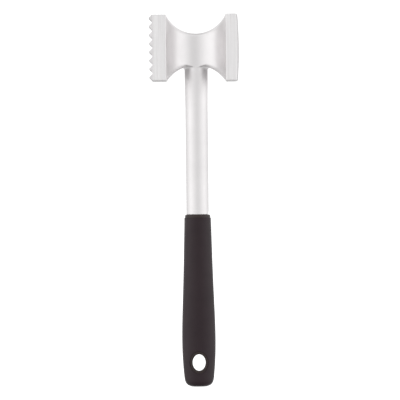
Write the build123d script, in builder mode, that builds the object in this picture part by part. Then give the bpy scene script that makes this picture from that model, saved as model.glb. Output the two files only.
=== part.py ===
"""Meat mallet: cast aluminium head and shaft, plastic handle core, soft grip sleeve and tang pin.

Millimetres. Z runs up the shaft from the butt to the head. The toothed face looks along -X and
the smooth face along +X. The origin is on the shaft's axis, at the flat land of the butt.
"""

from build123d import *
import os

# Head
face_size = 52.5  # both striking faces are squares
head_centre_z = 266.75
waist_half_length = 23.5  # from the shaft's axis to the inner face of each slab
waist_top_z = 278.5  # the arcs above and below the waist end here
waist_bottom_z = 253.2
tooth_tip_x = -37.1
smooth_face_x = 33.9  # crown of the smooth face
crown_radius = 350.0
waist_half_depth = 9.35  # the arcs in front of and behind the waist end here

# Teeth
tooth_rows = 8
tooth_pitch = 6.67
tooth_height = 3.3
tooth_land = 0.4  # width of the blunt tip

# Shaft and tang
shaft_radius = 8.7
shaft_top_radius = 9.05  # casting draft widens the shaft towards the head
draft_start_z = 216.0
draft_end_z = 246.0
shoulder_z = 135.5
tang_width = 11.6
tang_depth = 8.6
tang_corner = 2.0
tang_length = 92.0
tang_draft = 0.35  # degrees a side

# Rounds of the casting
hollow_round = 1.6  # where a hollow meets a slab
edge_round = 1.2  # the long edges and the rim of the smooth face
junction_round = 2.6  # where the shaft meets the head

# Handle: half width and half depth of the soft sleeve at evenly spaced heights, butt first
grip_half_sizes = [
    (9.2, 7.3),
    (12.65, 10.0),
    (12.95, 10.4),
    (12.25, 10.4),
    (11.45, 10.3),
    (10.85, 10.25),
    (10.3, 10.25),
]
sleeve_wall = 2.0
butt_round = 6.5
mouth_round = 0.4
core_bottom_z = 4.5
core_bottom_round = 2.0
collar_height = 2.4
collar_radius = 9.95
collar_round = 1.1
key_groove_depth = 0.7
key_groove_height = 5.0
key_groove_spacing = 17.0
key_groove_count = 5
key_groove_centre_z = 73.0

# Hanging eye
eye_z = 19.0
eye_half_width = 5.1
eye_half_height = 6.6
eye_rim = 2.0  # width of the core's rim round the eye
eye_recess = 0.4  # the rim lies this far below the sleeve
eye_round = 1.0
eye_lip_round = 0.4  # edge of the sleeve round the rim

# Tang pin: a slotted spring pin from front to back
pin_z = 119.0
pin_diameter = 4.0
pin_wall = 0.8
pin_slot = 0.9
pin_length = 16.0
pin_chamfer = 0.3

half_face = face_size / 2
collar_z = shoulder_z - collar_height
reach = 60.0  # clears the handle in any cut


def slab_corners(sketch):
    """The corners where the hollows meet the slabs."""
    return [v for v in sketch.vertices() if abs(abs(v.X) - waist_half_length) < 0.01]


def tang_solid(mode):
    """The tapered tang below the shoulder, or with Mode.SUBTRACT its socket."""
    with BuildSketch(Plane.XY.offset(shoulder_z)) as section:
        RectangleRounded(tang_width, tang_depth, tang_corner)
    extrude(section.sketch, amount=-tang_length, taper=tang_draft, mode=mode)


def pin_hole():
    """The hole for the tang pin, from front to back."""
    with BuildSketch(Plane.XZ) as section:
        with Locations((0, pin_z)):
            Circle(pin_diameter / 2)
    extrude(section.sketch, amount=reach, both=True, mode=Mode.SUBTRACT)


def eye_prism(margin, mode):
    """The oval of the hanging eye, grown by a margin and run from front to back."""
    with BuildSketch(Plane.XZ) as section:
        with Locations((0, eye_z)):
            Ellipse(eye_half_width + margin, eye_half_height + margin)
    extrude(section.sketch, amount=reach, both=True, mode=mode)


def eye_edges(piece, margin):
    """The two outermost edges, front and back, of the oval with this margin."""
    rims = [
        edge
        for edge in piece.edges()
        if abs(edge.bounding_box().size.Z - 2 * (eye_half_height + margin)) < 0.1
        and abs(edge.bounding_box().size.X - 2 * (eye_half_width + margin)) < 0.1
    ]
    outward = ShapeList(rims).sort_by(Axis.Y)
    return [outward[0], outward[-1]]


def handle_body(inset, mode=Mode.ADD):
    """The handle's shape from the butt up to the collar, inset all round."""
    spacing = collar_z / (len(grip_half_sizes) - 1)
    sections = []
    for i, (half_width, half_depth) in enumerate(grip_half_sizes):
        with BuildSketch(Plane.XY.offset(i * spacing)) as section:
            Ellipse(half_width - inset, half_depth - inset)
        sections.append(section.sketch)
    loft(sections, mode=mode)


# The casting: waisted head, crowned smooth face, teeth, shaft and tang.
with BuildPart() as mallet_casting:
    with BuildSketch(Plane.XZ) as side_view:
        with BuildLine():
            Polyline(
                (-waist_half_length, head_centre_z + half_face),
                (tooth_tip_x, head_centre_z + half_face),
                (tooth_tip_x, head_centre_z - half_face),
                (-waist_half_length, head_centre_z - half_face),
            )
            ThreePointArc(
                (-waist_half_length, head_centre_z - half_face),
                (0, waist_bottom_z),
                (waist_half_length, head_centre_z - half_face),
            )
            Polyline(
                (waist_half_length, head_centre_z - half_face),
                (smooth_face_x, head_centre_z - half_face),
                (smooth_face_x, head_centre_z + half_face),
                (waist_half_length, head_centre_z + half_face),
            )
            ThreePointArc(
                (waist_half_length, head_centre_z + half_face),
                (0, waist_top_z),
                (-waist_half_length, head_centre_z + half_face),
            )
        make_face()
        fillet(slab_corners(side_view), hollow_round)
    extrude(amount=half_face, both=True)
    with Locations((smooth_face_x - crown_radius, 0, head_centre_z)):
        Sphere(crown_radius, mode=Mode.INTERSECT)

    with BuildSketch(Plane.XZ):
        with BuildLine():
            Polyline(
                (0, shoulder_z),
                (shaft_radius, shoulder_z),
                (shaft_radius, draft_start_z),
                (shaft_top_radius, draft_end_z),
                (shaft_top_radius, head_centre_z),
                (0, head_centre_z),
                close=True,
            )
        make_face()
    revolve(axis=Axis.Z)
    junction = [
        edge
        for edge in mallet_casting.edges().filter_by(GeomType.BSPLINE)
        if edge.bounding_box().size.X < 3 * shaft_top_radius
        and abs(edge.center().Z - waist_bottom_z) < junction_round
    ]
    fillet(junction, junction_round)

    # The front and back hollows trim the waist flush with the shaft.
    with BuildSketch(Plane.XY.offset(shoulder_z)) as top_view:
        with BuildLine():
            Polyline(
                (-waist_half_length, half_face),
                (tooth_tip_x, half_face),
                (tooth_tip_x, -half_face),
                (-waist_half_length, -half_face),
            )
            ThreePointArc(
                (-waist_half_length, -half_face),
                (0, -waist_half_depth),
                (waist_half_length, -half_face),
            )
            Polyline(
                (waist_half_length, -half_face),
                (smooth_face_x, -half_face),
                (smooth_face_x, half_face),
                (waist_half_length, half_face),
            )
            ThreePointArc(
                (waist_half_length, half_face),
                (0, waist_half_depth),
                (-waist_half_length, half_face),
            )
        make_face()
        fillet(slab_corners(top_view), hollow_round)
    extrude(amount=2 * face_size + shoulder_z, mode=Mode.INTERSECT)

    long_edges = [
        edge
        for edge in mallet_casting.edges()
        if edge.bounding_box().min.Y * edge.bounding_box().max.Y > 0
        and edge.bounding_box().size.X > 0.02
        and edge.bounding_box().min.Z > head_centre_z - half_face - 0.1
        and abs(edge.center().Y) > shaft_top_radius + 0.1
    ]
    smooth_face = mallet_casting.faces().sort_by(Axis.X)[-1]
    fillet(long_edges + smooth_face.edges(), edge_round)

    # V grooves up and across leave rows of blunt pyramids.
    groove_half = (tooth_pitch - tooth_land) / 2
    tips = (tooth_tip_x, 0, head_centre_z)
    for along in ((0, 1, 0), (0, 0, 1)):
        with BuildSketch(Plane(tips, x_dir=(1, 0, 0), z_dir=along)):
            with GridLocations(tooth_height, tooth_pitch, 1, tooth_rows + 1):
                Polygon((0, -groove_half), (tooth_height, 0), (0, groove_half), align=None)
        extrude(amount=face_size, both=True, mode=Mode.SUBTRACT)

    tang_solid(Mode.ADD)
    pin_hole()
mallet_casting.part.label = "mallet_casting"

# Rings round the core that the sleeve's inner ribs fill.
with BuildPart() as key_grooves:
    with BuildSketch(Plane.XZ):
        with Locations((0, key_groove_centre_z)):
            with GridLocations(reach, key_groove_spacing, 1, key_groove_count):
                Rectangle(reach, key_groove_height)
    extrude(amount=reach / 2, both=True)
    handle_body(sleeve_wall + key_groove_depth, Mode.SUBTRACT)

# The core's rim round the hanging eye follows the sleeve's surface.
with BuildPart() as eye_boss:
    handle_body(eye_recess)
    eye_prism(eye_rim, Mode.INTERSECT)

# The core's barrel with no holes in it, which is also the hollow of the sleeve.
with BuildPart() as core_barrel:
    handle_body(sleeve_wall)
    split(bisect_by=Plane.XY.offset(core_bottom_z), keep=Keep.TOP)
    fillet(core_barrel.faces().sort_by(Axis.Z)[0].edges(), core_bottom_round)
    add(key_grooves.part, mode=Mode.SUBTRACT)

with BuildPart() as handle_core:
    add(core_barrel.part)
    add(eye_boss.part)
    with Locations((0, 0, collar_z)):
        Cylinder(collar_radius, collar_height, align=(Align.CENTER, Align.CENTER, Align.MIN))
    fillet(handle_core.faces().sort_by(Axis.Z)[-1].edges(), collar_round)
    eye_prism(0, Mode.SUBTRACT)
    fillet(eye_edges(handle_core, 0), eye_round)
    tang_solid(Mode.SUBTRACT)
    pin_hole()
handle_core.part.label = "handle_core"

with BuildPart() as grip_sleeve:
    handle_body(0)
    fillet(grip_sleeve.faces().sort_by(Axis.Z)[0].edges(), butt_round)
    fillet(grip_sleeve.faces().sort_by(Axis.Z)[-1].edges(), mouth_round)
    add(core_barrel.part, mode=Mode.SUBTRACT)
    eye_prism(eye_rim, Mode.SUBTRACT)
    fillet(eye_edges(grip_sleeve, eye_rim), eye_lip_round)
grip_sleeve.part.label = "grip_sleeve"

# The pin: a tube rolled from strip, open along one side, with its ends chamfered.
with BuildPart() as tang_pin:
    with Locations(Plane((0, 0, pin_z), z_dir=(0, 1, 0))):
        Cylinder(pin_diameter / 2, pin_length)
        chamfer(tang_pin.edges().filter_by(GeomType.CIRCLE), pin_chamfer)
        Cylinder(pin_diameter / 2 - pin_wall, pin_length, mode=Mode.SUBTRACT)
    with Locations((0, 0, pin_z - pin_diameter / 2)):
        Box(pin_slot, pin_length, pin_diameter, mode=Mode.SUBTRACT)
tang_pin.part.label = "tang_pin"

os.makedirs("parts", exist_ok=True)
for piece in (mallet_casting, handle_core, grip_sleeve, tang_pin):
    export_step(piece.part, f"parts/{piece.part.label}.step")
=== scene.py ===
"""Studio picture of a meat mallet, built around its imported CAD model."""

import math

import bpy
import numpy as np
from mathutils import Matrix


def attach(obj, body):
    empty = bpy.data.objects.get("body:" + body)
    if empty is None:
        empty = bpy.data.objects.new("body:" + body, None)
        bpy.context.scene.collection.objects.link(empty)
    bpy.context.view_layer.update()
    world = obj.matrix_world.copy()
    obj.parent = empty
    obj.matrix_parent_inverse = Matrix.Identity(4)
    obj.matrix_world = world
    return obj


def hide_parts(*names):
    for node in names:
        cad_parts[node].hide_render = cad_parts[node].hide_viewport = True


MM = 0.001
TINY = 1e-6  # keeps a division finite

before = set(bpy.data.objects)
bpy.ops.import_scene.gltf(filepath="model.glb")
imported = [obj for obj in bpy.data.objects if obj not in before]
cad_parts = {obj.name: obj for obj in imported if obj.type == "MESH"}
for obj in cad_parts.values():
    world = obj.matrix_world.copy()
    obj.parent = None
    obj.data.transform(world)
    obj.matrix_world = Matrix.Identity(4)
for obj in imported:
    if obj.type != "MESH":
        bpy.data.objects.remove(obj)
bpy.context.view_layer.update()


# ---------------------------------------------------------------- shapes as distance fields
# Fields take millimetres in the CAD frame and are negative inside the metal or the rubber.
HEAD_CENTRE_Z = 266.75
HALF_FACE = 26.0
HALF_FACE_STEP = 0.25  # the smooth slab is a little larger than the toothed one
HALF_FACE_STEP_X = (-10, 10)  # the larger size takes over along here, inside the waist
WAIST_HALF_LENGTH = 23.5
WAIST_TOP_Z = 278.1
WAIST_BOTTOM_Z = 253.2
WAIST_HALF_DEPTH = 9.15
SLAB_CORNER_ROUND = 0.5
SLAB_EDGE_ROUND = 0.9
WAIST_EDGE_ROUND = 2.4
FACE_RIM_ROUND = 0.9
SMOOTH_FACE_X = 33.9
CROWN_RADIUS = 350.0
CROWN_CENTRE_X = SMOOTH_FACE_X - CROWN_RADIUS

TOOTH_TIP_X = -36.95
TOOTH_PITCH = 6.67
TOOTH_HEIGHT = 3.0
TOOTH_LAND = 0.3
GROOVE_HOLLOW = 0.35  # the flanks of the teeth are slightly hollow
TOOTH_CENTRE_Z = 266.9
TOOTH_EDGE_ROUND = 0.4
TIP_ROUND = 0.12
VALLEY_ROUND = 0.25

SHAFT_RADIUS = 8.8
SHAFT_TOP_RADIUS = 9.1
SHAFT_DRAFT_Z = (216, 246)
SHOULDER_Z = 135.5
SHAFT_END_ROUND = 0.4
JUNCTION_ROUND = 2.6
TANG_LENGTH = 92.0
TANG_WIDTH = 11.6
TANG_DEPTH = 8.6
TANG_CORNER = 2.0
TANG_DRAFT = 0.35  # degrees a side
TANG_END_ROUND = 0.6
TANG_OVERLAP = 3  # how far the tang reaches up into the shaft
PIN_Z = 119.0
PIN_DIAMETER = 4.0

# Where the plan of the head lets go of the shaft, and where the waist's edges change their round
BESIDE_SHAFT_X = (12, 16)
BELOW_WAIST_Z = (245, 252)
PLAN_GROWTH = 4  # the plan grows by this round the shaft, which leaves the shaft whole
SLAB_EDGE_X = (16, 23)
CLEAR_OF_SHAFT_X = (4, 9)
CLEAR_OF_SHAFT_Z = (255, 262)
SHARP_ROUND = 0.05

COLLAR_Z = 133.1
# Half width and half depth at evenly spaced heights, butt first: the sleeve, and the core inside it
GRIP_HALF_SIZES = [
    (10.8, 8.0),
    (12.85, 10.0),
    (13.15, 10.4),
    (12.45, 10.4),
    (11.65, 10.3),
    (11.0, 10.25),
    (10.45, 10.25),
]
CORE_HALF_SIZES = [
    (7.2, 5.3),
    (10.65, 8.0),
    (10.95, 8.4),
    (10.25, 8.4),
    (9.45, 8.3),
    (8.85, 8.25),
    (8.3, 8.25),
]
CAP_HEIGHT = 8.5  # the butt rounds off below this
CAP_POWER = 3.5
LEAST_CAP = 1e-4
MOUTH_ROUND = 0.4
CAVITY_BOTTOM_Z = 4.5
CAVITY_ROUND = 2.0
RIB_Z = 73.0  # the middle one of the ribs inside the sleeve
RIB_SPACING = 17.0
RIB_HEIGHT = 5.0
RIB_DEPTH = 0.7
RIB_EDGE = 0.3  # the ribs' sides slope over twice this
RIBS_A_SIDE = 2  # above and below the middle one
EYE_Z = 19.0
EYE_HALF_WIDTH = 7.1  # the sleeve's opening round the core's rim
EYE_HALF_HEIGHT = 8.6
EYE_LIP_ROUND = 0.4


def meet(a, b, radius):
    """The overlap of two shapes, with the edge between them rounded."""
    u = np.maximum(radius + a, 0)
    v = np.maximum(radius + b, 0)
    return np.minimum(np.maximum(a, b), -radius) + np.hypot(u, v)


def join(a, b, radius):
    """Two shapes together, with a fillet between them."""
    return -meet(-a, -b, radius)


def ease(low, high, value):
    """Rises smoothly from 0 at low to 1 at high."""
    t = np.clip((value - low) / (high - low), 0, 1)
    return t * t * (3 - 2 * t)


def arc_hollow(x, height, end, middle):
    """The outside of the circle through the waist's two ends at one height and its middle at another."""
    rise = end - middle
    radius = (WAIST_HALF_LENGTH**2 + rise**2) / (2 * abs(rise))
    centre = middle + math.copysign(radius, rise)
    return radius - np.hypot(x, height - centre)


def groove(t):
    """Depth of the grooves between rows of teeth, at t along the face."""
    half_width = (TOOTH_PITCH - TOOTH_LAND) / 2
    from_valley = np.abs(t - TOOTH_PITCH * np.round(t / TOOTH_PITCH))
    soft_valley = np.sqrt(from_valley**2 + VALLEY_ROUND**2)
    rise = soft_valley / half_width
    depth = TOOTH_HEIGHT * (1 - rise) * (1 + GROOVE_HOLLOW * rise)
    return (depth + np.sqrt(depth**2 + TIP_ROUND**2)) / 2


def toothed_face(x, y, z):
    """The plane of pyramids that the two sets of grooves leave."""
    a, b = groove(y), groove(z - TOOTH_CENTRE_Z)
    depth = (a + b + np.sqrt((a - b) ** 2 + TIP_ROUND**2)) / 2
    flank = math.atan(TOOTH_HEIGHT / (TOOTH_PITCH / 2))
    return (TOOTH_TIP_X + depth - x) * math.cos(flank)


def tang(x, y, z):
    """The tapered tang below the shoulder, with its pin hole."""
    shrink = (SHOULDER_Z - z) * math.tan(math.radians(TANG_DRAFT))
    qx = np.abs(x) - (TANG_WIDTH / 2 - shrink - TANG_CORNER)
    qy = np.abs(y) - (TANG_DEPTH / 2 - shrink - TANG_CORNER)
    rim = np.hypot(np.maximum(qx, 0), np.maximum(qy, 0)) + np.minimum(np.maximum(qx, qy), 0) - TANG_CORNER
    ends = np.maximum(SHOULDER_Z - TANG_LENGTH - z, z - SHOULDER_Z - TANG_OVERLAP)
    bar = meet(rim, ends, TANG_END_ROUND)
    return np.maximum(bar, PIN_DIAMETER / 2 - np.hypot(x, z - PIN_Z))


def casting(x, y, z):
    """Head, shaft and tang in one piece."""
    half = HALF_FACE + HALF_FACE_STEP * ease(*HALF_FACE_STEP_X, x)
    top = arc_hollow(x, z, HEAD_CENTRE_Z + HALF_FACE, WAIST_TOP_Z)
    bottom = arc_hollow(x, z, HEAD_CENTRE_Z - HALF_FACE, WAIST_BOTTOM_Z)
    front_view = meet(np.abs(z - HEAD_CENTRE_Z) - half, np.maximum(top, bottom), SLAB_CORNER_ROUND)
    front_and_back = arc_hollow(x, np.abs(y), HALF_FACE, WAIST_HALF_DEPTH)
    plan = meet(np.abs(y) - half, front_and_back, SLAB_CORNER_ROUND)

    radius = SHAFT_RADIUS + (SHAFT_TOP_RADIUS - SHAFT_RADIUS) * ease(*SHAFT_DRAFT_Z, z)
    ends = np.maximum(SHOULDER_Z - z, z - HEAD_CENTRE_Z)
    shaft = meet(np.hypot(x, y) - radius, ends, SHAFT_END_ROUND)
    joined = join(front_view, shaft, JUNCTION_ROUND)

    # The plan trims the head only: it lets go of the shaft below the waist.
    beside_shaft = 1 - ease(*BESIDE_SHAFT_X, np.abs(x))
    plan = plan - PLAN_GROWTH * beside_shaft * (1 - ease(*BELOW_WAIST_Z, z))
    lip = WAIST_EDGE_ROUND + (SLAB_EDGE_ROUND - WAIST_EDGE_ROUND) * ease(*SLAB_EDGE_X, np.abs(x))
    clear_of_shaft = np.maximum(ease(*CLEAR_OF_SHAFT_X, np.abs(x)), ease(*CLEAR_OF_SHAFT_Z, z))
    body = meet(joined, plan, SHARP_ROUND + (lip - SHARP_ROUND) * clear_of_shaft)

    crown = np.sqrt((x - CROWN_CENTRE_X) ** 2 + y**2 + (z - HEAD_CENTRE_Z) ** 2) - CROWN_RADIUS
    body = meet(body, crown, FACE_RIM_ROUND)
    body = meet(body, toothed_face(x, y, z), TOOTH_EDGE_ROUND)
    return np.minimum(body, tang(x, y, z))


def ellipse(x, y, a, b):
    """Close to the distance from an ellipse with half axes a and b."""
    near = np.hypot(x / a, y / b)
    return near * (near - 1) / np.maximum(np.hypot(x / a**2, y / b**2), TINY)


def handle_sizes(half_sizes, z):
    """Half width and half depth at height z, on a smooth line through the listed ones."""
    heights = np.linspace(0, COLLAR_Z, len(half_sizes))
    fits = [np.polynomial.Polynomial.fit(heights, sizes, len(sizes) - 1) for sizes in zip(*half_sizes)]
    return [fit(np.clip(z, 0, COLLAR_Z)) for fit in fits]


def grip_outline(x, y, z):
    """The handle's outside, with its oval cap at the butt."""
    below = np.clip((CAP_HEIGHT - z) / CAP_HEIGHT, 0, 1)
    cap = np.maximum(1 - below**CAP_POWER, LEAST_CAP) ** (1 / CAP_POWER)
    half_width, half_depth = handle_sizes(GRIP_HALF_SIZES, z)
    return ellipse(x, y, half_width * cap, half_depth * cap)


def sleeve(x, y, z):
    """The soft sleeve: hollow above its butt, with ribs inside and an opening round the eye."""
    outside = meet(grip_outline(x, y, z), z - COLLAR_Z, MOUTH_ROUND)
    outside = np.maximum(outside, -z)
    nearest_rib = np.clip(np.round((z - RIB_Z) / RIB_SPACING), -RIBS_A_SIDE, RIBS_A_SIDE)
    from_rib = np.abs(z - RIB_Z - RIB_SPACING * nearest_rib)
    rib = ease(RIB_EDGE, -RIB_EDGE, from_rib - RIB_HEIGHT / 2)
    inside = ellipse(x, y, *handle_sizes(CORE_HALF_SIZES, z))
    cavity = meet(inside + RIB_DEPTH * rib, CAVITY_BOTTOM_Z - z, CAVITY_ROUND)
    hollow = np.maximum(outside, -cavity)
    eye = ellipse(x, z - EYE_Z, EYE_HALF_WIDTH, EYE_HALF_HEIGHT)
    return meet(hollow, -eye, EYE_LIP_ROUND)


# ---------------------------------------------------------------- meshes from fields
SLOPE_REACH = 0.01  # half the distance over which a field's slope is taken
SETTLING_ROUNDS = 3  # steps that move the vertices onto the surface
LONGEST_MOVE = 0.25
LEAST_SLOPE = 0.2


def steps(first, *stops):
    """Coordinates from a first value on, then up to each (end, spacing) in turn."""
    values = [np.array([float(first)])]
    for end, spacing in stops:
        start = values[-1][-1]
        count = max(1, round((end - start) / spacing))
        values.append(np.linspace(start, end, count + 1)[1:])
    return np.concatenate(values)


def gradient(field, points):
    """Direction in which the field grows, at each point."""
    x, y, z = points.T
    slopes = [
        field(x + SLOPE_REACH, y, z) - field(x - SLOPE_REACH, y, z),
        field(x, y + SLOPE_REACH, z) - field(x, y - SLOPE_REACH, z),
        field(x, y, z + SLOPE_REACH) - field(x, y, z - SLOPE_REACH),
    ]
    return np.stack(slopes, axis=1) / (2 * SLOPE_REACH)


def crossed_edges(values, axes, axis):
    """Where grid lines along an axis cross the surface: the places, and the four cells round each."""
    low = values[tuple(slice(None, -1) if i == axis else slice(None) for i in range(3))]
    high = values[tuple(slice(1, None) if i == axis else slice(None) for i in range(3))]
    start = np.argwhere((low < 0) != (high < 0))
    before, after = low[tuple(start.T)], high[tuple(start.T)]
    places = np.stack([axes[i][start[:, i]] for i in range(3)], axis=1)
    spacing = np.diff(axes[axis])[start[:, axis]]
    places[:, axis] += spacing * before / (before - after)
    cells = []
    for u, v in ((-1, -1), (0, -1), (0, 0), (-1, 0)):
        cell = start.copy()
        cell[:, (axis + 1) % 3] += u
        cell[:, (axis + 2) % 3] += v
        cells.append(np.ravel_multi_index(cell.T, values.shape))
    quads = np.stack(cells, axis=1)
    from_outside = before >= 0
    quads[from_outside] = quads[from_outside, ::-1]
    return places, quads


def surface_points(field, axes):
    """Vertices where the field is zero, one in each grid cell that the surface cuts, and their quads."""
    values = field(*np.meshgrid(*axes, indexing="ij", sparse=True))
    found = [crossed_edges(values, axes, axis) for axis in range(3)]
    places = np.concatenate([places for places, quads in found])
    cells = np.concatenate([quads for places, quads in found])
    quads = np.unique(cells, return_inverse=True)[1].ravel()
    count = np.bincount(quads)
    means = [np.bincount(quads, weights=np.repeat(places[:, i], 4)) / count for i in range(3)]
    points = np.stack(means, axis=1)
    for _ in range(SETTLING_ROUNDS):
        slope = gradient(field, points)
        size = np.maximum(np.linalg.norm(slope, axis=1), LEAST_SLOPE)
        move = np.clip(field(*points.T) / size, -LONGEST_MOVE, LONGEST_MOVE)
        points -= slope * (move / size)[:, None]
    return points, quads


def surface_mesh(name, field, axes):
    """A mesh of the surface, shaded by the slope of its field."""
    points, quads = surface_points(field, axes)
    normals = gradient(field, points)
    normals /= np.maximum(np.linalg.norm(normals, axis=1), TINY)[:, None]

    mesh = bpy.data.meshes.new(name)
    mesh.vertices.add(len(points))
    mesh.vertices.foreach_set("co", (points * MM).ravel())
    mesh.loops.add(len(quads))
    mesh.loops.foreach_set("vertex_index", quads)
    mesh.polygons.add(len(quads) // 4)
    mesh.polygons.foreach_set("loop_start", np.arange(0, len(quads), 4))
    mesh.update(calc_edges=True)
    mesh.validate()
    mesh.shade_smooth()
    mesh.normals_split_custom_set_from_vertices(normals)
    return mesh


def piece(mesh, node, material):
    """A mesh piece that rides on the body and stands for a CAD node."""
    obj = bpy.data.objects.new(mesh.name, mesh)
    bpy.context.scene.collection.objects.link(obj)
    mesh.materials.append(material)
    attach(obj, "root")
    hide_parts(node)


# Grid coordinates along x, y and z: a first value, then (end, spacing) pairs, finer where edges are.
CELLS_PER_TOOTH = 13  # each tooth gets the same grid cells
TOOTH_STEP = TOOTH_PITCH / CELLS_PER_TOOTH
FACE_CELLS = 4 * CELLS_PER_TOOTH + 1  # from the middle of the face to past its edge
FACE_STEPS = TOOTH_STEP * np.arange(-FACE_CELLS, FACE_CELLS + 1)
CASTING_GRID = (
    steps(
        -37.9,
        (-32.5, 0.36),
        (-25, 0.9),
        (-22, 0.36),
        (-10, 0.75),
        (10, 0.55),
        (22, 0.75),
        (25, 0.36),
        (31, 0.9),
        (34.7, 0.36),
    ),
    FACE_STEPS,
    np.concatenate([
        steps(42.6, (45, 0.5), (116, 3.0), (122, 0.5), (135, 2.0), (137, 0.35), (239.2, 4.0)),
        TOOTH_CENTRE_Z + FACE_STEPS,
    ]),
)
SLEEVE_GRID = (
    steps(-13.7, (13.7, 0.45)),
    steps(-11.2, (11.2, 0.45)),
    steps(-0.7, (32, 0.45), (130.7, 1.2), (133.7, 0.3)),
)


# ---------------------------------------------------------------- materials
NOISE_SPAN = (0.3, 0.7)  # nearly all of a noise's values lie between these
STROKES_SPAN = (0.35, 0.65)

# Millimetres over which one finish of the casting goes over to the next
BRUSHED_X = (23.3, 23.8)  # either way from the shaft's axis
# painted shade: the toothed face is coloured darker from here on, standing in for the shade between its
# teeth
TOOTH_SHADE_X = (-33.9, -34.4)
TIPS_X = (-36.5, -36.9)
SHAFT_Z = (254, 246)
FACE_DEPTH = (0.4, 0.1)  # below the crown of the smooth face

# Roughness of the casting, and how far it strays either way
CAST_DULL = 0.33
SHAFT_DULL = 0.52
CAST_SPREAD = 0.03
BRUSHED_DULL = 0.64
BRUSHED_SPREAD = 0.05
TIP_DULL = 0.25


def new_material(name):
    """A material with its Principled node, and a function that adds a node with its inputs set."""
    material = bpy.data.materials.new(name)
    material.use_nodes = True
    tree = material.node_tree
    shader = tree.nodes["Principled BSDF"]

    def add(kind, settings=None, **inputs):
        node = tree.nodes.new(kind)
        for key, value in (settings or {}).items():
            setattr(node, key, value)
        for key, value in inputs.items():
            socket = node.inputs[key.replace("_", " ")]
            if isinstance(value, bpy.types.NodeSocket):
                tree.links.new(value, socket)
            else:
                socket.default_value = value
        return node

    def link(source, target):
        tree.links.new(source, shader.inputs[target])

    place = add("ShaderNodeTexCoord").outputs["Object"]
    return material, shader, add, link, place


def noise(add, place, scale, detail, roughness=0.5):
    """The values of a noise at each place."""
    node = add("ShaderNodeTexNoise", Vector=place, Scale=scale, Detail=detail, Roughness=roughness)
    return node.outputs["Fac"]


def stretched(add, place, scale):
    """The place, scaled differently along x, y and z."""
    return add("ShaderNodeMapping", Vector=place, Scale=scale).outputs["Vector"]


def two_tone(add, value, dark, light, span=NOISE_SPAN):
    """A colour that follows a noise from dark to light."""
    node = add("ShaderNodeValToRGB", Fac=value)
    for element, position, colour in zip(node.color_ramp.elements, span, (dark, light)):
        element.position = position
        element.color = (*colour, 1)
    return node.outputs["Color"]


def follow(add, value, low, high):
    """A value that goes from low to high as a noise goes through its span."""
    start, end = NOISE_SPAN
    node = add("ShaderNodeMapRange", Value=value, From_Min=start, From_Max=end, To_Min=low, To_Max=high)
    return node.outputs["Result"]


def past(add, value, start, end):
    """Goes from 0 to 1 as a distance goes from start to end, given in millimetres."""
    node = add("ShaderNodeMapRange", Value=value, From_Min=start * MM, From_Max=end * MM)
    return node.outputs["Result"]


def blend(add, kind, factor, first, second):
    """A mix of two values or colours."""
    node = add("ShaderNodeMix", {"data_type": kind}, Factor=factor, A=first, B=second)
    return node.outputs["Result"]


def bump(add, height, strength, distance, **under):
    """The normal after a bump, distance in millimetres, on top of another one where that is given."""
    node = add("ShaderNodeBump", Height=height, Strength=strength, Distance=distance * MM, **under)
    return node.outputs["Normal"]


def cast_zones(add, place):
    """The parts of the casting that are finished differently, and the toothed face that carries painted
    shade, each as a mask from 0 to 1.
    """
    split = add("ShaderNodeSeparateXYZ", Vector=place)
    across, height = split.outputs["X"], split.outputs["Z"]
    from_shaft = add("ShaderNodeMath", {"operation": "ABSOLUTE"}, Value=across)
    from_centre = add("ShaderNodeVectorMath", {"operation": "DISTANCE"}, Vector=place)
    from_centre.inputs[1].default_value = (CROWN_CENTRE_X * MM, 0, HEAD_CENTRE_Z * MM)
    face_start, face_end = (CROWN_RADIUS - depth for depth in FACE_DEPTH)
    return {
        "slabs": past(add, from_shaft.outputs["Value"], *BRUSHED_X),
        # mask of the painted shade on the toothed face
        "grooves": past(add, across, *TOOTH_SHADE_X),
        "tips": past(add, across, *TIPS_X),
        "shaft": past(add, height, *SHAFT_Z),
        "face": past(add, from_centre.outputs["Value"], face_start, face_end),
    }


def cast_tone(add, zones, patches, waves, strokes):
    """Colour of the casting: blasted, with brushed slabs, a toothed face darkened as painted shade of its
    teeth, and smooth face.
    """
    blasted = two_tone(add, patches, (0.88, 0.862, 0.865), (0.93, 0.912, 0.914))
    brushed = two_tone(add, strokes, (0.91, 0.898, 0.90), (1.0, 0.99, 0.992), STROKES_SPAN)
    # painted shade: the toothed face gets a darker tone for the shade on its tooth flanks
    grooves = two_tone(add, waves, (0.75, 0.738, 0.74), (0.85, 0.836, 0.84))
    face = two_tone(add, strokes, (0.71, 0.70, 0.702), (0.81, 0.798, 0.80))
    tone = blend(add, "RGBA", zones["slabs"], blasted, brushed)
    tone = blend(add, "RGBA", zones["grooves"], tone, grooves)
    return blend(add, "RGBA", zones["face"], tone, face)


def cast_roughness(add, zones, patches, strokes):
    """Roughness of the casting: the shaft is duller than the waist, and the tooth tips are polished."""
    dullest = blend(add, "FLOAT", zones["shaft"], CAST_DULL + CAST_SPREAD, SHAFT_DULL + CAST_SPREAD)
    glossiest = blend(add, "FLOAT", zones["shaft"], CAST_DULL - CAST_SPREAD, SHAFT_DULL - CAST_SPREAD)
    blasted = follow(add, patches, dullest, glossiest)
    brushed = follow(add, strokes, BRUSHED_DULL + BRUSHED_SPREAD, BRUSHED_DULL - BRUSHED_SPREAD)
    dull = blend(add, "FLOAT", zones["slabs"], blasted, brushed)
    return blend(add, "FLOAT", zones["tips"], dull, TIP_DULL)


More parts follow.
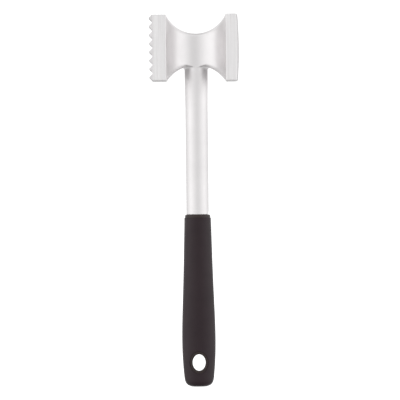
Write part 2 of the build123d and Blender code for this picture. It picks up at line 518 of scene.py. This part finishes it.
def cast_aluminium():
    """Bead-blasted aluminium, with brushed slabs and polished tooth tips."""
    material, shader, add, link, place = new_material("cast_aluminium")
    zones = cast_zones(add, place)
    patches = noise(add, place, scale=38, detail=4, roughness=0.6)
    waves = noise(add, place, scale=140, detail=3)
    grain = noise(add, place, scale=4200, detail=3, roughness=0.6)
    dimples = add("ShaderNodeTexVoronoi", {"feature": "SMOOTH_F1"}, Vector=place, Scale=2600)
    upright = stretched(add, place, (650, 650, 12))
    strokes = noise(add, upright, scale=1, detail=3, roughness=0.65)
    scratches = noise(add, upright, scale=8, detail=2)

    link(cast_tone(add, zones, patches, waves, strokes), "Base Color")
    link(cast_roughness(add, zones, patches, strokes), "Roughness")

    stroke_strength = blend(add, "FLOAT", zones["slabs"], 0.0, 0.25)
    scratch_strength = blend(add, "FLOAT", zones["slabs"], 0.0, 0.8)
    normal = bump(add, waves, strength=0.12, distance=0.2)
    normal = bump(add, dimples.outputs["Distance"], strength=0.2, distance=0.05, Normal=normal)
    normal = bump(add, grain, strength=0.25, distance=0.03, Normal=normal)
    normal = bump(add, strokes, strength=stroke_strength, distance=0.05, Normal=normal)
    normal = bump(add, scratches, strength=scratch_strength, distance=0.15, Normal=normal)
    link(normal, "Normal")
    shader.inputs["Metallic"].default_value = 1.0
    return material


def soft_grip():
    """Black soft-touch elastomer with a fine moulded grain."""
    material, shader, add, link, place = new_material("soft_grip")
    grain = noise(add, place, scale=2400, detail=3, roughness=0.6)
    patches = noise(add, place, scale=60, detail=4, roughness=0.6)
    link(two_tone(add, patches, (0.0145, 0.0035, 0.0075), (0.0205, 0.007, 0.0115)), "Base Color")
    link(follow(add, patches, low=0.50, high=0.42), "Roughness")
    link(bump(add, grain, strength=0.35, distance=0.06), "Normal")
    shader.inputs["IOR"].default_value = 1.45
    return material


def core_plastic():
    """Dark moulded plastic, a little glossier than the sleeve."""
    material, shader, add, link, place = new_material("core_plastic")
    grain = noise(add, place, scale=1500, detail=2)
    patches = noise(add, place, scale=80, detail=3, roughness=0.6)
    link(two_tone(add, patches, (0.018, 0.007, 0.005), (0.026, 0.011, 0.009)), "Base Color")
    link(follow(add, patches, low=0.42, high=0.34), "Roughness")
    link(bump(add, grain, strength=0.2, distance=0.04), "Normal")
    return material


def pin_steel():
    """Rolled spring steel with faint lines along the pin."""
    material, shader, add, link, place = new_material("pin_steel")
    lines = noise(add, stretched(add, place, (900, 60, 900)), scale=4, detail=3)
    link(two_tone(add, lines, (0.46, 0.46, 0.46), (0.6, 0.6, 0.6)), "Base Color")
    dull = add("ShaderNodeMapRange", Value=lines, To_Min=0.25, To_Max=0.4)
    link(dull.outputs["Result"], "Roughness")
    link(bump(add, lines, strength=0.2, distance=0.02), "Normal")
    shader.inputs["Metallic"].default_value = 1.0
    return material


# ---------------------------------------------------------------- pieces
casting_mesh = surface_mesh("casting", casting, CASTING_GRID)
sleeve_mesh = surface_mesh("sleeve", sleeve, SLEEVE_GRID)
piece(casting_mesh, "mallet_casting", cast_aluminium())
piece(sleeve_mesh, "grip_sleeve", soft_grip())
for node, material in (("handle_core", core_plastic()), ("tang_pin", pin_steel())):
    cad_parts[node].data.materials[0] = material


# ---------------------------------------------------------------- studio
FLOOR_HALF_SIZE = 12.0
FLOOR_GREY = 0.6
FLOOR_GLOW = 0.85
ROOM_BRIGHTNESS = 1.2  # what the camera sees behind the mallet

LIGHT_SCALE = 4.0  # the ramps hold brightness divided by this
# Brightness of the room round the horizon, by angle from the camera's side, positive to the right:
# dim in front, two tall softboxes at the sides, dim again behind them.
LIGHT_AROUND = [
    (-180, 0.95), (-135, 0.75), (-105, 0.9), (-90, 1.15), (-75, 1.62), (-58, 1.26),
    (-30, 1.05), (-15, 0.85), (0, 0.68), (15, 0.68), (30, 0.92), (45, 1.14),
    (60, 1.15), (75, 1.5), (90, 1.3), (120, 0.85), (150, 0.8), (180, 0.95),
]
# Brightness added above and below the horizon, by elevation: a ceiling light and the pale floor.
LIGHT_HEIGHT = [(-90, 0.2), (-60, 0.4), (-40, 0.7), (0, 0.0), (40, 0.87), (90, 0.5)]
HORIZON_REACH = 40  # the light round the horizon fades out over this many degrees
HORIZON_FADE = [(-HORIZON_REACH, 0), (0, LIGHT_SCALE), (HORIZON_REACH, 0)]

CAMERA_DISTANCE = 5.0
CAMERA_X = 0.002
CAMERA_Z = 0.147
CAMERA_ROLL = 0.6  # degrees
VIEW_WIDTH = 0.3152  # at the mallet
SENSOR_WIDTH = 36
CLIP_END = 50


def studio_floor():
    """A plain white floor, bright enough to run into the white surroundings."""
    size = FLOOR_HALF_SIZE
    mesh = bpy.data.meshes.new("floor")
    corners = [(-size, -size, 0), (size, -size, 0), (size, size, 0), (-size, size, 0)]
    mesh.from_pydata(corners, [], [(0, 1, 2, 3)])
    floor = bpy.data.objects.new("floor", mesh)
    bpy.context.scene.collection.objects.link(floor)
    floor.visible_glossy = False
    floor.visible_diffuse = False
    material = bpy.data.materials.new("floor_paper")
    material.use_nodes = True
    shader = material.node_tree.nodes["Principled BSDF"]
    shader.inputs["Base Color"].default_value = (FLOOR_GREY, FLOOR_GREY, FLOOR_GREY, 1)
    shader.inputs["Roughness"].default_value = 0.9
    shader.inputs["Emission Color"].default_value = (1, 1, 1, 1)
    shader.inputs["Emission Strength"].default_value = FLOOR_GLOW
    mesh.materials.append(material)


def degrees_ramp(tree, value, stops, full_turn):
    """A ramp over an angle in radians, with (degrees, brightness) stops."""
    remap = tree.nodes.new("ShaderNodeMapRange")
    remap.inputs["From Min"].default_value = math.radians(-full_turn / 2)
    remap.inputs["From Max"].default_value = math.radians(full_turn / 2)
    tree.links.new(value, remap.inputs["Value"])
    node = tree.nodes.new("ShaderNodeValToRGB")
    tree.links.new(remap.outputs["Result"], node.inputs["Fac"])
    elements = node.color_ramp.elements
    while len(elements) < len(stops):
        elements.new(0.5)
    for element, (degrees, brightness) in zip(elements, stops):
        grey = brightness / LIGHT_SCALE
        element.position = degrees / full_turn + 0.5
        element.color = (grey, grey, grey, 1)
    return node.outputs["Color"]


def studio_world():
    """White walls to the camera. The light in the room is strongest from the sides and above."""
    world = bpy.data.worlds.new("studio")
    world.use_nodes = True
    bpy.context.scene.world = world
    tree = world.node_tree

    def math_node(operation, *values):
        node = tree.nodes.new("ShaderNodeMath")
        node.operation = operation
        for socket, value in zip(node.inputs, values):
            if isinstance(value, bpy.types.NodeSocket):
                tree.links.new(value, socket)
            else:
                socket.default_value = value
        return node.outputs["Value"]

    place = tree.nodes.new("ShaderNodeTexCoord")
    split = tree.nodes.new("ShaderNodeSeparateXYZ")
    tree.links.new(place.outputs["Generated"], split.inputs[0])
    away = math_node("MULTIPLY", split.outputs["Y"], -1.0)
    turn = math_node("ARCTAN2", split.outputs["X"], away)
    elevation = math_node("ARCSINE", split.outputs["Z"])
    around = degrees_ramp(tree, turn, LIGHT_AROUND, 360)
    near = degrees_ramp(tree, elevation, HORIZON_FADE, 180)
    height = degrees_ramp(tree, elevation, LIGHT_HEIGHT, 180)
    total = math_node("MULTIPLY_ADD", around, near, height)

    path = tree.nodes.new("ShaderNodeLightPath")
    mix = tree.nodes.new("ShaderNodeMix")
    background = tree.nodes["Background"]
    tree.links.new(path.outputs["Is Camera Ray"], mix.inputs["Factor"])
    tree.links.new(total, mix.inputs["A"])
    mix.inputs["B"].default_value = ROOM_BRIGHTNESS / LIGHT_SCALE
    tree.links.new(mix.outputs["Result"], background.inputs["Color"])
    background.inputs["Strength"].default_value = LIGHT_SCALE


def camera():
    """Level and square to the front, at the height of the mallet's middle, and slightly rolled."""
    data = bpy.data.cameras.new("camera")
    data.sensor_width = SENSOR_WIDTH
    data.lens = SENSOR_WIDTH * CAMERA_DISTANCE / VIEW_WIDTH
    data.clip_end = CLIP_END
    obj = bpy.data.objects.new("camera", data)
    bpy.context.scene.collection.objects.link(obj)
    obj.matrix_world = (
        Matrix.Translation((CAMERA_X, -CAMERA_DISTANCE, CAMERA_Z))
        @ Matrix.Rotation(math.radians(CAMERA_ROLL), 4, "Y")
        @ Matrix.Rotation(math.pi / 2, 4, "X")
    )
    bpy.context.scene.camera = obj


studio_floor()
studio_world()
camera()
bpy.context.scene.view_settings.view_transform = "Standard"
